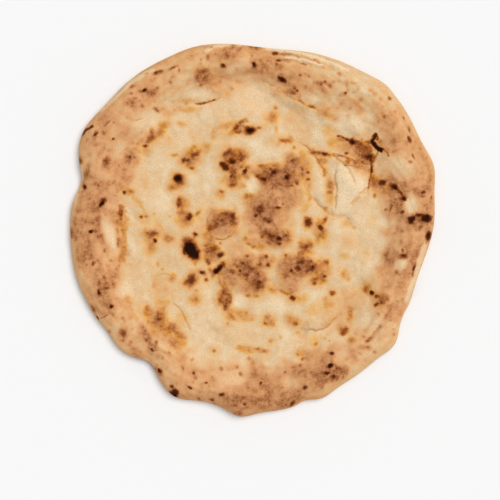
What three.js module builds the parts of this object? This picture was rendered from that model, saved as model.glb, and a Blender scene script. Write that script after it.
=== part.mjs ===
// A baked pizza base: one round of dough with a thin, blistered floor and a puffed, uneven rim.
// Millimetres and degrees, +Z up. The base lies on its flat underside at z = 0, with the origin
// at the middle of its box. Features are placed from the middle of the dough, +X across, +Y up.

import * as THREE from "three";

// Driving dimensions
const MEAN_RADIUS = 147; // middle of the dough to its edge
const FLOOR_THICKNESS = 5.5; // the floor inside the rim, before its blisters
const RIM_HEIGHT = 15.5; // crest of the rim above the table
const RIM_WIDTH = 42; // edge of the base in to the floor
const CREST_INSET = 16; // edge of the base in to the crest
const EDGE_HEIGHT = 6; // where the side is widest
const FOOT_INSET = 8; // edge of the base in to the flat underside
const PUFF = 0.3; // rise of the crest for each millimetre that the edge bulges out

// Triangles: ring k of the upper side has 6k points and ring k of the underside has 12k.
const UPPER_RINGS = 34;
const UPPER_SECTORS = 6;
const UNDER_RINGS = 17;
const UNDER_SECTORS = 12;
const SIDE_STEPS = [0, 0.28]; // share of the turn from the widest line to the foot, one row each
const LIP_INSET = 1.2; // the upper side's last ring, just in from the edge

// Where the hand-stretched edge bulges out or is nipped in: the bearing of each place counted
// anticlockwise from +X, how far it spreads to each side, and how far it reaches.
const EDGE_LOBES = [
  { bearing: 18, spread: 6, reach: 4.8 },
  { bearing: 42, spread: 17, reach: 6.2 },
  { bearing: 47, spread: 4, reach: 1.8 },
  { bearing: 84, spread: 13, reach: -5.2 },
  { bearing: 108, spread: 8, reach: 2.2 },
  { bearing: 131, spread: 18, reach: 5.2 },
  { bearing: 152, spread: 9, reach: 7.2 },
  { bearing: 166, spread: 5.5, reach: -5.5 },
  { bearing: 197, spread: 9, reach: 1.3 },
  { bearing: 216, spread: 5, reach: -1.5 },
  { bearing: 233, spread: 5, reach: -8.5 },
  { bearing: 246, spread: 5.5, reach: 5.5 },
  { bearing: 266, spread: 4.5, reach: 5.8 },
  { bearing: 276, spread: 14, reach: 4 },
  { bearing: 286.5, spread: 2.5, reach: -2.5 },
  { bearing: 292, spread: 4, reach: 2.5 },
  { bearing: 319, spread: 4, reach: 3.4 },
  { bearing: 328, spread: 4, reach: -2.4 },
  { bearing: 342, spread: 15, reach: -8.2 },
];

// Where the floor reaches further under the rim, or the rim creeps in over the floor.
const RIM_WIDTH_LOBES = [
  { bearing: 5, spread: 22, reach: 5 },
  { bearing: 42, spread: 14, reach: -4 },
  { bearing: 88, spread: 20, reach: -11 },
  { bearing: 150, spread: 25, reach: 5 },
  { bearing: 205, spread: 18, reach: -5 },
  { bearing: 275, spread: 26, reach: 3 },
];

// Large blisters that the steam has lifted, each a dome on an oval.
const BLISTERS = [
  { x: -24, y: 2, length: 27, width: 21, turn: -12, rise: 3.4 },
  { x: -5, y: -36, length: 42, width: 34, turn: -30, rise: 3.2 },
  { x: 41, y: -36, length: 40, width: 28, turn: 12, rise: 2.8 },
  { x: 24, y: 27, length: 48, width: 42, turn: 60, rise: 2.6 },
  { x: -16, y: 48, length: 26, width: 24, turn: 40, rise: 2.4 },
  { x: 21, y: -12, length: 28, width: 20, turn: -10, rise: 2.6 },
  { x: 78, y: 41, length: 46, width: 25, turn: -62, rise: 3.6 },
  { x: 50, y: -73, length: 40, width: 22, turn: 24, rise: 3 },
  { x: -50, y: -21, length: 17, width: 12, turn: -55, rise: 2.2 },
  { x: -60, y: 38, length: 14, width: 13, turn: 0, rise: 1.6 },
  { x: 88, y: 80, length: 48, width: 26, turn: -32, rise: 2.2 },
  { x: 114, y: 45, length: 40, width: 30, turn: -70, rise: 2.2 },
  { x: -13, y: 130, length: 52, width: 24, turn: 8, rise: 2 },
  { x: -43, y: 109, length: 36, width: 22, turn: 15, rise: 2 },
  { x: -100, y: 72, length: 44, width: 20, turn: 52, rise: 1.8 },
  { x: -118, y: 8, length: 46, width: 22, turn: 84, rise: 1.6 },
  { x: -112, y: -48, length: 40, width: 24, turn: -66, rise: 1.8 },
  { x: -78, y: -92, length: 42, width: 20, turn: -42, rise: 1.8 },
  { x: -22, y: -128, length: 46, width: 22, turn: -14, rise: 1.8 },
  { x: 46, y: -120, length: 44, width: 22, turn: 24, rise: 1.6 },
  { x: 118, y: -22, length: 44, width: 22, turn: 86, rise: 1.8 },
];

// Small bubbles scattered by a seeded draw, in a band measured in from the edge.
const SMALL_BUBBLES = [
  { count: 52, seed: 7, nearest: 9, furthest: 44, smallest: 8, largest: 15, rise: 1.1 },
  { count: 46, seed: 23, nearest: 48, furthest: 140, smallest: 8, largest: 16, rise: 0.9 },
];

// Folds and splits in the crust, each a groove on a bowed line between two ends.
const FOLDS = [
  { from: [95, 64], to: [96, 24], bow: 3, width: 5, depth: 2.6 },
  { from: [-72, 95], to: [-28, 101], bow: -5, width: 5, depth: 1.8 },
  { from: [12, 112], to: [66, 88], bow: 4, width: 6, depth: 1.4 },
  { from: [42, 65], to: [93, 44], bow: 5, width: 5, depth: 1.6 },
  { from: [38, -86], to: [66, -78], bow: -6, width: 5, depth: 2 },
  { from: [109, -65], to: [90, -94], bow: 4, width: 6, depth: 1.5 },
  { from: [-149, -10], to: [-128, -7], bow: 0, width: 5, depth: 1.6 },
  { from: [-126, -78], to: [-110, -69], bow: 0, width: 5, depth: 1.6 },
  { from: [-3, 143], to: [-1, 122], bow: 1, width: 5, depth: 1.4 },
  { from: [10, 135], to: [70, 122], bow: 6, width: 6, depth: 1.2 },
];

// Slow waves that keep the whole round from lying true.
const WAVES = [
  { heading: 20, length: 96, phase: 40, height: 0.55 },
  { heading: 75, length: 71, phase: 190, height: 0.45 },
  { heading: 128, length: 58, phase: 310, height: 0.4 },
  { heading: 164, length: 43, phase: 95, height: 0.3 },
];

const { degToRad, radToDeg, euclideanModulo, lerp, smoothstep } = THREE.MathUtils;

const bell = (t) => Math.exp(-t * t);

// Repeatable draws between 0 and 1.
function seededDraw(seed) {
  let state = seed;
  return () => {
    state = (state * 48271) % 2147483647;
    return state / 2147483647;
  };
}

function lobesAt(lobes, bearing) {
  return lobes.reduce((sum, lobe) => {
    const apart = euclideanModulo(bearing - lobe.bearing + 180, 360) - 180;
    return sum + lobe.reach * bell(apart / lobe.spread);
  }, 0);
}

const edgeRadius = (bearing) => MEAN_RADIUS + lobesAt(EDGE_LOBES, bearing);
const rimWidth = (bearing) => RIM_WIDTH + lobesAt(RIM_WIDTH_LOBES, bearing);
const crestHeight = (bearing) => RIM_HEIGHT + PUFF * lobesAt(EDGE_LOBES, bearing);

// Height of the plain rim and floor at a distance in from the edge.
function rimSection(inset, bearing) {
  const crest = crestHeight(bearing);
  if (inset < CREST_INSET) {
    const outward = (CREST_INSET - inset) / CREST_INSET;
    return lerp(EDGE_HEIGHT, crest, Math.sqrt(1 - outward * outward));
  }
  return lerp(crest, FLOOR_THICKNESS, smoothstep(inset, CREST_INSET, rimWidth(bearing)));
}

function domeRise(dome, x, y) {
  const turn = degToRad(dome.turn);
  const [dx, dy] = [x - dome.x, y - dome.y];
  const along = (dx * Math.cos(turn) + dy * Math.sin(turn)) / (dome.length / 2);
  const across = (dy * Math.cos(turn) - dx * Math.sin(turn)) / (dome.width / 2);
  return dome.rise * Math.max(0, 1 - along * along - across * across);
}

function scatterBubbles({ count, seed, nearest, furthest, smallest, largest, rise }) {
  const draw = seededDraw(seed);
  return Array.from({ length: count }, () => {
    const bearing = 360 * draw();
    const reach = edgeRadius(bearing);
    const inner = Math.max(0, reach - furthest);
    const radius = Math.sqrt(lerp(inner ** 2, (reach - nearest) ** 2, draw()));
    const length = lerp(smallest, largest, draw());
    return {
      x: radius * Math.cos(degToRad(bearing)),
      y: radius * Math.sin(degToRad(bearing)),
      length,
      width: length * lerp(0.6, 1, draw()),
      turn: 180 * draw(),
      rise: rise * lerp(0.5, 1, draw()),
    };
  });
}

const SCATTERED = SMALL_BUBBLES.flatMap(scatterBubbles);

// Points along a fold, bowed to the left of the way from one end to the other.
function foldLine({ from, to, bow }) {
  const [a, b] = [new THREE.Vector2(...from), new THREE.Vector2(...to)];
  const side = b.clone().sub(a).rotateAround(new THREE.Vector2(), Math.PI / 2).setLength(2 * bow);
  const middle = a.clone().add(b).multiplyScalar(0.5).add(side);
  return new THREE.QuadraticBezierCurve(a, middle, b).getPoints(24);
}

const FOLD_LINES = FOLDS.map((fold) => ({ ...fold, points: foldLine(fold) }));

function foldDepth(fold, x, y) {
  const nearest = Math.min(...fold.points.map((p) => Math.hypot(p.x - x, p.y - y)));
  return fold.depth * bell(nearest / (fold.width / 2));
}

function waveHeight({ heading, length, phase, height }, x, y) {
  const way = degToRad(heading);
  const along = x * Math.cos(way) + y * Math.sin(way);
  return height * Math.sin((2 * Math.PI * along) / length + degToRad(phase));
}

// Blisters, bubbles, folds and waves above the plain section.
function relief(x, y) {
  const blister = Math.max(0, ...BLISTERS.map((dome) => domeRise(dome, x, y)));
  const bubble = Math.max(0, ...SCATTERED.map((dome) => domeRise(dome, x, y)));
  const fold = Math.max(...FOLD_LINES.map((line) => foldDepth(line, x, y)));
  const wave = WAVES.reduce((sum, w) => sum + waveHeight(w, x, y), 0);
  return blister + bubble - fold + wave;
}

// Relief fades out at the edge, where the side takes over.
function upperPoint(share, bearing) {
  const edge = edgeRadius(bearing);
  const radius = share * (edge - LIP_INSET);
  const inset = edge - radius;
  const [x, y] = [radius * Math.cos(degToRad(bearing)), radius * Math.sin(degToRad(bearing))];
  const height = rimSection(inset, bearing) + relief(x, y) * smoothstep(inset, 0, CREST_INSET / 2);
  return new THREE.Vector3(x, y, height);
}

function sidePoint(step, bearing) {
  const turn = (step * Math.PI) / 2;
  const radius = edgeRadius(bearing) - FOOT_INSET * (1 - Math.cos(turn));
  const height = EDGE_HEIGHT * (1 - Math.sin(turn));
  return new THREE.Vector3(radius * Math.cos(degToRad(bearing)), radius * Math.sin(degToRad(bearing)), height);
}

function underPoint(share, bearing) {
  const radius = share * (edgeRadius(bearing) - FOOT_INSET);
  return new THREE.Vector3(radius * Math.cos(degToRad(bearing)), radius * Math.sin(degToRad(bearing)), 0);
}

// A disc of rings round a middle point, with one more point in each sector of every ring.
// It returns the numbers of the points in its outer ring. Turned over, it faces down.
function addDisc(points, faces, rings, sectors, pointAt, turnedOver) {
  const add = (share, bearing) => points.push(pointAt(share, bearing)) - 1;
  const face = (a, b, c) => faces.push(...(turnedOver ? [a, c, b] : [a, b, c]));
  let inner = [add(0, 0)];
  for (let ring = 1; ring <= rings; ring++) {
    const count = ring * sectors;
    const outer = Array.from({ length: count }, (_, i) => add(ring / rings, (360 * i) / count));
    for (let i = 0; i < count; i++) {
      const [sector, step] = [Math.floor(i / ring), i % ring];
      const within = inner[(sector * (ring - 1) + step) % inner.length];
      const next = outer[(i + 1) % count];
      face(within, outer[i], next);
      if (step < ring - 1) {
        face(within, next, inner[(sector * (ring - 1) + step + 1) % inner.length]);
      }
    }
    inner = outer;
  }
  return inner;
}

// A band of triangles from one ring of points down to the next.
function addBand(faces, upper, lower) {
  upper.forEach((a, i) => {
    const next = (i + 1) % upper.length;
    faces.push(a, lower[i], lower[next], a, lower[next], upper[next]);
  });
}

function doughGeometry() {
  const [points, faces] = [[], []];
  const top = addDisc(points, faces, UPPER_RINGS, UPPER_SECTORS, upperPoint, false);
  const foot = addDisc(points, faces, UNDER_RINGS, UNDER_SECTORS, underPoint, true);
  const sideRows = SIDE_STEPS.map((step) =>
    top.map((_, i) => points.push(sidePoint(step, (360 * i) / top.length)) - 1),
  );
  const rows = [top, ...sideRows, foot];
  rows.slice(1).forEach((row, i) => addBand(faces, rows[i], row));

  const geometry = new THREE.BufferGeometry().setFromPoints(points).setIndex(faces);
  geometry.computeBoundingBox();
  const middle = geometry.boundingBox.getCenter(new THREE.Vector3());
  geometry.translate(-middle.x, -middle.y, 0);
  geometry.computeVertexNormals();
  return geometry;
}

const crust = new THREE.MeshStandardMaterial({ color: 0xd6a774, roughness: 0.85, metalness: 0 });
const pizzaBase = new THREE.Mesh(doughGeometry(), crust);
pizzaBase.name = "pizza_base";

const part = new THREE.Group();
part.add(pizzaBase);

export default part;
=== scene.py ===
"""A baked pizza base, dressed for show: the dough's fine relief and finish, and a stage for it.

Lengths in the lists below are millimetres in the base's own frame: the origin is the middle of
its box on the table, +X is to the right and +Y to the top of the view from above. Turns are
degrees anticlockwise from +X, and so are bearings. Bake runs from 0, pale dough, to 1, char.
"""

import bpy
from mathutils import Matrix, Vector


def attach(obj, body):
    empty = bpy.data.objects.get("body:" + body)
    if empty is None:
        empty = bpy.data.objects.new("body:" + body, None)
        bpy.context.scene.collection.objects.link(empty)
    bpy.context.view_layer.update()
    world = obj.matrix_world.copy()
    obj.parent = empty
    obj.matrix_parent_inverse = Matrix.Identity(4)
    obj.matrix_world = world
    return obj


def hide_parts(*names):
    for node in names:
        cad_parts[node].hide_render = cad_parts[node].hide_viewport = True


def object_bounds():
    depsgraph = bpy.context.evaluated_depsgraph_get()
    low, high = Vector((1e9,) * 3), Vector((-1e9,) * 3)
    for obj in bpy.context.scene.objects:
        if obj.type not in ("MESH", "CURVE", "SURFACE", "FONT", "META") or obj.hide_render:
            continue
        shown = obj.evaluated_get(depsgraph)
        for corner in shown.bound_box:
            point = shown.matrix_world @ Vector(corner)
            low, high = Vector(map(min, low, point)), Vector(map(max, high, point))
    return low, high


bl_info = {
    "name": "Pizza Base",
    "version": (1, 0, 0),
    "blender": (4, 5, 0),
    "location": "3D View > Sidebar > Pizza Base",
    "description": "Dresses a baked pizza base and sets a plain stage for it",
    "category": "Object",
}

import math
import random
from collections import namedtuple

import bmesh
import bpy
import numpy as np
from mathutils import Vector, noise

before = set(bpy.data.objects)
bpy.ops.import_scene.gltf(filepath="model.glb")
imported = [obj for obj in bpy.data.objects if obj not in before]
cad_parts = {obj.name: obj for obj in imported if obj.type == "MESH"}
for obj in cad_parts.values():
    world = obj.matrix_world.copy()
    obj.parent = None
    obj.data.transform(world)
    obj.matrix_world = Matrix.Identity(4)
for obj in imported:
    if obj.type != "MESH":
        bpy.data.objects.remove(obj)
CAD_BOX = [list(corner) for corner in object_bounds()]

MM = 0.001
NODE = "pizza_base"
EDGE_REACH = 147  # from the middle of the round to its edge
MIDDLE = (0.0, 5.6)  # the round's own middle, from which bearings are taken

Spot = namedtuple("Spot", "x y length width bake turn", defaults=[0])
Crease = namedtuple("Crease", "width depth ledge bake golden points")
Band = namedtuple("Band", "width rise points")
Stroke = namedtuple("Stroke", "width bake points")


def spot_list(*rows):
    """Spots from rows of x, y, length, width, bake in hundredths and, where it isn't 0, turn."""
    return [Spot(*row[:4], row[4] / 100, *row[5:]) for row in rows]


# Wide browned patches of the floor, dull and dusty in their middles; a few are painted shade in
# hollows, marked below.
DUSKY_PATCHES = spot_list(
    # the wide plateau in the middle
    (20, 42, 38, 20, 46), (20, 43.5, 32, 14, 50), (11, 48, 20, 8, 40), (22, 28, 37, 26, 39),
    (8, 14, 26, 22, 42), (2, 22, 14, 14, 46), (6, 16, 12, 12, 50), (16, 8, 11, 8, 46),
    (2, 31, 9, 7, 35), (0, 0, 9, 8, 36), (0, 47.5, 9, 6, 40), (15, 24, 14, 9, 45),
    (10, 40, 12, 8, 56, -15), (11, 8, 37, 23, 36), (31, 52, 16, 16, 46), (9.5, 1, 14, 14, 42),
    # the domes round it
    (-23.5, 8.5, 23, 15.5, 50, 8), (-23, 8.5, 19, 10, 54, 8), (-16, 8.5, 8, 11, 57, 10),
    # (-40, 4) is painted shade beside the loaf blister.
    (-31, 15, 9, 8, 36), (-40, 4, 8, 15, 26), (-24, -0.5, 24, 13, 36, 4), (19.5, -5, 23, 16, 44),
    (23, -7, 10, 8, 53), (8, -11, 12, 11, 36),
    # lower middle and lower right
    (-6, -28.5, 21, 17, 48), (-1, -31, 14, 9, 53, -20), (0, -36, 24, 18, 49, -20),
    (8.5, -25, 13, 11, 50), (-18, -36, 18, 18, 38), (0, -46, 22, 12, 40), (3, -42, 13, 12, 54),
    (38, -28, 30, 18, 47), (42, -27, 22, 12, 48, -20), (31, -39, 20, 16, 40), (31, -47, 11, 8, 42),
    (8, -40, 9, 10, 51), (48, -32, 8, 7, 54), (27, -28, 14, 18, 42),
    # upper right
    (81, 64.6, 21, 15, 39, -10),
    # faint haze; (-12, -15) and (80, -8) are painted shade in hollows
    (-2, -8.5, 17, 9, 36), (-12, -15, 17, 10, 26), (72, -60, 34, 18, 20, 35), (80, -8, 10, 9, 17),
    (-71, -50, 14, 12, 18),
)

# Golden to charred stains and bubbles of the floor.
FLOOR_STAINS = spot_list(
    # top
    (-12, 82, 11, 9, 42), (-15.5, 78.5, 8, 5, 46, 20), (-21, 84, 14, 6, 33, 15),
    (-30.5, 78, 6, 10, 28, -10), (-1.8, 80.3, 9, 5, 99, 5), (4.5, 82, 5, 2.4, 55, 10),
    (15, 91, 12, 12, 33), (16.5, 89.5, 8, 6, 37, -30), (18.5, 98.5, 3, 3, 42), (19, 82, 3, 12, 25),
    (26.5, 71.8, 11, 4, 52), (30, 74, 5, 5, 32), (20, 69, 4, 4, 28), (33, 66.5, 3, 4, 40),
    (-53, 104, 16, 5, 30, 5), (-50, 96.8, 14, 4.4, 31, 5), (-57, 97, 6, 3.4, 33),
    (-57, 85, 7, 4.6, 32, -20),
    # upper left
    (-81.5, 74, 8, 7, 48), (-80.5, 79, 4, 7, 54), (-74, 78, 9, 8, 35, 40),
    (-76, 80, 20, 10, 33, 45), (-70.5, 85, 11, 7, 35, 40), (-86, 67.6, 5, 2.4, 68),
    (-84, 71, 6, 4, 50, 40), (-85.5, 63.5, 9, 7, 30), (-50, 57, 17, 14, 42, 40),
    (-46, 60.5, 11, 4.6, 60, 40), (-48, 63, 12, 8, 42, 40), (-55, 56.5, 4.4, 5, 58),
    (-51.5, 56, 4, 4, 60), (-51.5, 53, 5, 5, 48), (-49, 50, 3.6, 2.6, 62), (-38, 66, 9, 8, 34),
    (-62, 60.3, 6, 3, 38), (-47, 67.5, 4, 3, 42), (-60, 41.5, 7, 6.6, 97),
    (-59.5, 40.5, 10.5, 9.5, 60, -20), (-63.5, 35.5, 8, 8, 42, 45), (-62.5, 34, 4, 4, 48),
    # the dome with two charred bubbles, and its tail
    (-15.5, 57, 21, 20, 49), (-9.5, 60.5, 6, 4, 54, -35), (-20, 62.5, 10, 4, 50, 25),
    (-17, 55, 5.5, 5, 90), (-23, 51.5, 8.5, 6, 84, -35), (-21, 49.5, 6, 4, 70), (-9, 51, 4, 3, 55),
    (-6, 47.5, 5, 3.4, 86, 60), (-15, 41, 14, 16, 43), (-17, 43.5, 4, 4, 50), (-17, 36, 7, 4, 52),
    (-9, 37, 8, 8, 33), (-5, 43, 8, 5, 36, -30), (-26, 29, 6, 8, 36, 20), (-25.5, 31, 4, 3, 54),
    (-3, 27.5, 9, 5.4, 47, 20), (-3, 50.5, 9, 4, 40), (7, 51.4, 7, 3.6, 50, -10),
    (17, 52.4, 13, 4, 40, 5), (1, 28, 3, 3, 55), (-15, 48, 8, 7, 50), (-24, 40, 9, 6, 28),
    # bubbles of the plateau
    (9, 41, 7, 3.6, 84, -10), (4, 43.5, 6, 4, 58, -30), (17, 46.5, 5.2, 4.2, 90, -30),
    (14, 48.5, 3, 2.5, 62), (27.5, 42.5, 4.8, 4.6, 90), (33, 56, 5, 5, 68),
    (31, 36, 3.4, 2, 65, -20), (35.5, 38.5, 3.2, 4.2, 65), (16, 34, 2.4, 3, 58),
    (33, 46, 3, 2, 58, -20), (40, 45.5, 3, 4, 55), (44, 46.5, 3.6, 2.8, 60),
    (44.5, 41, 3.6, 2.6, 60), (4.5, 17, 9, 7, 64, -40), (2.5, 12, 3.6, 3, 80),
    (20.5, 18.5, 5, 2.8, 78, -15), (24, 21, 2.4, 2, 52), (10, 9, 6, 4, 58, -30), (13, 7, 4, 3, 58),
    (11, -1.5, 7, 6, 56), (15, 52, 14, 4.4, 42),
    # golden fringe on the plateau's right
    (41.5, 54, 11, 20, 33, 15), (48, 63, 10, 6, 38, -30), (57, 48, 7, 14, 32, 20),
    (40, 47, 7, 13, 42, 10), (45, 38, 10, 20, 28), (45.5, 25, 3, 6, 38, -20),
    (42, 18, 6, 10, 30, -45),
    # the left side
    (-59, 22.5, 4, 9, 68, -10), (-55.5, 21, 9, 11, 43), (-57, 14, 9, 8, 38),
    (-50.5, 11.2, 5.6, 5, 69), (-54, 9, 13, 12, 42), (-51, 9, 4, 3, 60),
    (-44.5, 13.5, 10, 2.8, 42, 38), (-55, 9, 12, 5, 33), (-97, 31.5, 5, 4, 58, -20),
    (-102.5, 30.5, 3, 3.6, 80), (-100, 30, 9, 6, 36), (-89, 10.8, 3, 2.8, 50),
    (-85, 11.2, 2.8, 2.8, 54), (-79, 13, 3.4, 2.2, 32), (-66, 11.5, 2.4, 2, 38),
    (-80.5, -2.5, 14, 7.4, 52), (-81, -2, 7, 4.4, 57), (-78, -8, 3.4, 3.8, 88),
    (-82, -11, 11, 15, 36), (-80, 8, 18, 12, 20), (-84, -18, 7, 8, 22),
    (-67, -6.6, 10.4, 5.8, 47, -15), (-76, 1, 10, 8, 24),
    # the loaf-shaped blister, brown above and golden below
    (-15.2, 8.6, 5.5, 11, 67), (-21, 12.5, 11, 6, 54), (-30, 4.5, 11, 8, 49, 40),
    (-33.5, 1, 6, 8, 55, 30), (-6, -6.5, 4, 5, 40),
    # the dome in the middle
    (21, -6.5, 5, 4.4, 92), (15.5, -4.5, 5.5, 4.4, 58), (22, -10.5, 5, 3.6, 70),
    (8, -4.5, 4.4, 3.4, 62, 30), (28, -6, 6, 10, 40), (19, -6, 13, 9, 55),
    # the great char and the bubbles by it
    (-51.2, -13.5, 8.4, 9.4, 92), (-47.2, -18.6, 8.4, 8.4, 96), (-46.2, -20.6, 7, 6, 93),
    (-54, -16, 5, 8, 76), (-49.2, -15.6, 17, 9, 93, -58), (-49, -15.2, 19, 12.5, 62, -58),
    (-48, -15.5, 22, 15, 36, -60), (-50, -8.2, 4.4, 4, 74), (-45.6, -3, 3.6, 3.2, 78),
    (-25.8, -19.6, 7, 4.6, 84, 20), (-33, -17, 15, 23, 42), (-37, -5, 7, 10, 38),
    (-32.5, -15, 10, 8, 53, -20), (-36, -17.5, 3, 3, 62), (-38, -12, 4, 2, 60),
    (-36, -24, 4, 6, 55), (-35, -26.5, 3, 2.4, 60), (-40.5, -33.5, 4, 3.2, 86, -20),
    (-37, -39.5, 3, 3, 58), (-34, -32, 4, 5, 45), (-26.8, -30.4, 11.4, 4.2, 97, 50),
    (-29.2, -32.6, 5.4, 4.6, 96), (-26, -10.3, 1.8, 1.6, 60),
    # lower middle
    (12.5, -27.5, 4.2, 4, 78), (5, -27, 5, 3.4, 60), (11, -21, 3.4, 3, 62),
    (-4.5, -20.5, 4.4, 2.6, 58), (-10, -32.2, 3, 2.6, 74), (-16, -32.5, 6, 3.6, 66, -10),
    (-5.5, -35.5, 5.4, 4.4, 62), (4, -35, 6, 4, 62, -20), (5, -41.3, 5.8, 3.6, 74, 10),
    (4, -44.5, 8, 4, 52), (-3.5, -52, 4, 3, 50), (3, -52.3, 5.6, 3, 50), (-13, -28, 6, 4, 55),
    (-8, -26, 5, 3, 56), (16, -46, 8, 8, 30), (-23, -44, 8, 14, 40, 15), (-22, -54, 11, 15, 52),
    (-26, -54.5, 5, 5, 50), (-19, -56, 4, 6, 50), (-21, -61.5, 5.4, 4.6, 55),
    (-23, -48.5, 4, 3, 50), (-13, -67, 20, 10, 36, -5), (-18, -66, 7, 6, 40), (-5, -70, 14, 6, 33),
    (-14, -70.5, 8, 4, 32, -10), (-5, -66, 3, 3, 42), (12.5, -72, 12, 10, 34),
    (12, -69.5, 5.4, 6, 43), (10, -74.5, 3, 2.4, 54), (16, -75.5, 4, 4, 35),
    (-20, -74.5, 2.4, 2.4, 45), (34, -74.5, 4.6, 3, 68, -10), (34, -73, 11, 8, 32),
    (29, -70.5, 7, 8, 35, -20), (16, -48, 8, 6, 34), (16, -23, 7, 6, 37),
    # right and lower right
    (48, -29.3, 3.6, 3.2, 82, 30), (57.5, -36.5, 3.6, 3.2, 70), (49.5, -42.3, 4.4, 2.6, 62),
    (31, -32, 3, 3, 74), (36, -31, 4.4, 5, 66), (26.5, -36, 5, 5, 54), (59, -25, 4, 4.4, 50),
    (44, -24.5, 5, 3, 60), (38, -25, 8, 3.4, 58, 10), (45, -32, 8, 4, 60), (55, -31, 14, 20, 39),
    (55, -40, 9, 8, 38), (26.5, -20, 3, 3, 55), (42.5, -13.5, 11, 12, 48), (44, -13.5, 5, 5, 62),
    (38, -19, 5.6, 5, 56), (38.5, -11, 5, 6, 45), (32, -54, 6, 5, 73),
    (25, -49.5, 11, 2.6, 50, -25), (39, -54, 9, 7, 30), (54.5, 2.2, 6.4, 4.4, 78, -40),
    (53.5, -3, 9, 9, 40), (52, -9, 6, 6, 34), (57.5, 8, 7, 4, 52, 50), (44.7, 6.4, 6, 6.2, 69, 30),
    (46, 6, 12, 11, 30), (55, 0, 10, 20, 35, 15), (42.5, 9.5, 4, 4, 40),
    (64, -50.3, 4.8, 4.2, 60, 20), (60, -57.5, 9, 8, 35), (78, -66, 5.4, 13, 44),
    (72.5, -79, 9, 9, 38), (74, -79.6, 5.4, 5, 58, 40), (72.4, -82.6, 5, 3.6, 58),
    (78, -87.5, 9, 8, 36, -40), (77, -72, 5, 5, 33), (36, -82, 3.4, 3, 36), (50, -87, 14, 7, 20),
    (49, -63, 14, 9, 24, 20), (49, -40, 8, 6, 42, 30), (50.5, -90.8, 3, 2.6, 52),
    (57.5, -86.5, 2.6, 2, 32), (61.5, -88, 2.4, 2, 32), (36.5, -98.5, 4.4, 4, 34),
    (73.5, -20.5, 7, 5, 28), (81, 2, 3.4, 3, 34), (74, -35, 6, 8, 36, -30), (76.5, -39, 3, 4, 32),
    (91.5, -18.5, 6, 3, 24, -20), (95, -49.7, 4, 3.8, 94), (91, -46.6, 7, 8.6, 48),
    (99, -52.5, 4.4, 3, 68, 15), (98.6, -58.8, 4.4, 3, 66, 30), (103.5, -56, 6, 6, 43),
    # upper right
    (57.5, 61.3, 6.4, 3.4, 80), (52, 62, 10, 4, 42), (62.5, 36, 8, 12, 42), (62, 27, 8, 10, 38),
    (61.5, 30.5, 4.4, 2.4, 52, 15), (58.5, 18, 3, 3, 40), (56, 56, 8, 7, 37),
    (79.8, 70.8, 5.4, 4.8, 93), (88, 64.5, 14, 12, 50), (93, 70.5, 7, 3.4, 56),
    (91.5, 58.8, 10, 6, 68, 5), (75, 61.5, 4, 2.6, 70), (88.5, 55, 11, 7, 46, -10),
    (95.5, 57, 6, 8, 55), (95, 48.5, 8, 7, 42), (104, 32, 8, 9, 41), (96, 8, 9, 11, 17),
    (71, 72.5, 9, 4, 44, -15), (67, 70, 16, 12, 30, -15), (60, 60, 7, 4, 42, -15),
    (57, 94, 13, 6, 35, -20), (65, 90, 9, 6, 34, -20), (86, 95, 9, 8, 31, 20),
    (75, 56, 10, 6, 38, -35), (80, 54.4, 19, 6, 41, -8), (86, 50.4, 13, 4.4, 42),
    (63, 79, 14, 8, 28, -20), (97, 39.5, 8.4, 13, 52), (92.8, 59, 6, 3.2, 82, 5),
    (87, 47.5, 13, 9, 30), (76, 5.5, 9, 6, 31, -25), (91, 46, 8, 12, 22),
    (97.6, 27.8, 3.6, 4.4, 54),
    # lower left
    (-48.8, -39.4, 9.4, 13, 54, -20), (-48.2, -39.5, 6, 7.4, 56), (-53, -42, 7, 4.6, 50, 10),
    (-49.5, -44.5, 5, 5, 40), (-45, -48, 3, 2.6, 42), (-46, -55, 9.4, 9.4, 39),
    (-64.5, -38, 7, 8, 37), (-79, -45, 2.8, 9, 30, 10), (-76, -27.5, 3, 5, 32),
    (-72, -31, 2.4, 1.8, 40), (-46, -26, 4, 5, 35), (-84.5, -62, 5, 5, 45), (-71, -58, 11, 7, 27),
    (-75, -68, 8, 11, 47, 20), (-83, -66, 11, 10, 40), (-76, -72, 20, 11, 43, -35),
    (-64, -79, 16, 11, 40, -40), (-61, -82.5, 5, 4, 44), (-60, -88, 14, 16, 34, 15),
    (-70, -80, 36, 20, 34, -42), (-100, -54, 5, 6, 36), (-57, -71, 13, 9, 24, -35),
    (-72, -64, 9, 7, 38, -40),
    # bottom
    (9.5, -96.3, 4, 3, 43), (-5.5, -95, 12, 6, 35, -10), (4.5, -94.5, 3, 2.4, 40),
    (14.5, -88, 3.6, 3.4, 40), (22, -85.3, 3, 3, 30), (-31, -96.4, 3.4, 2.8, 46),
)

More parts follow.
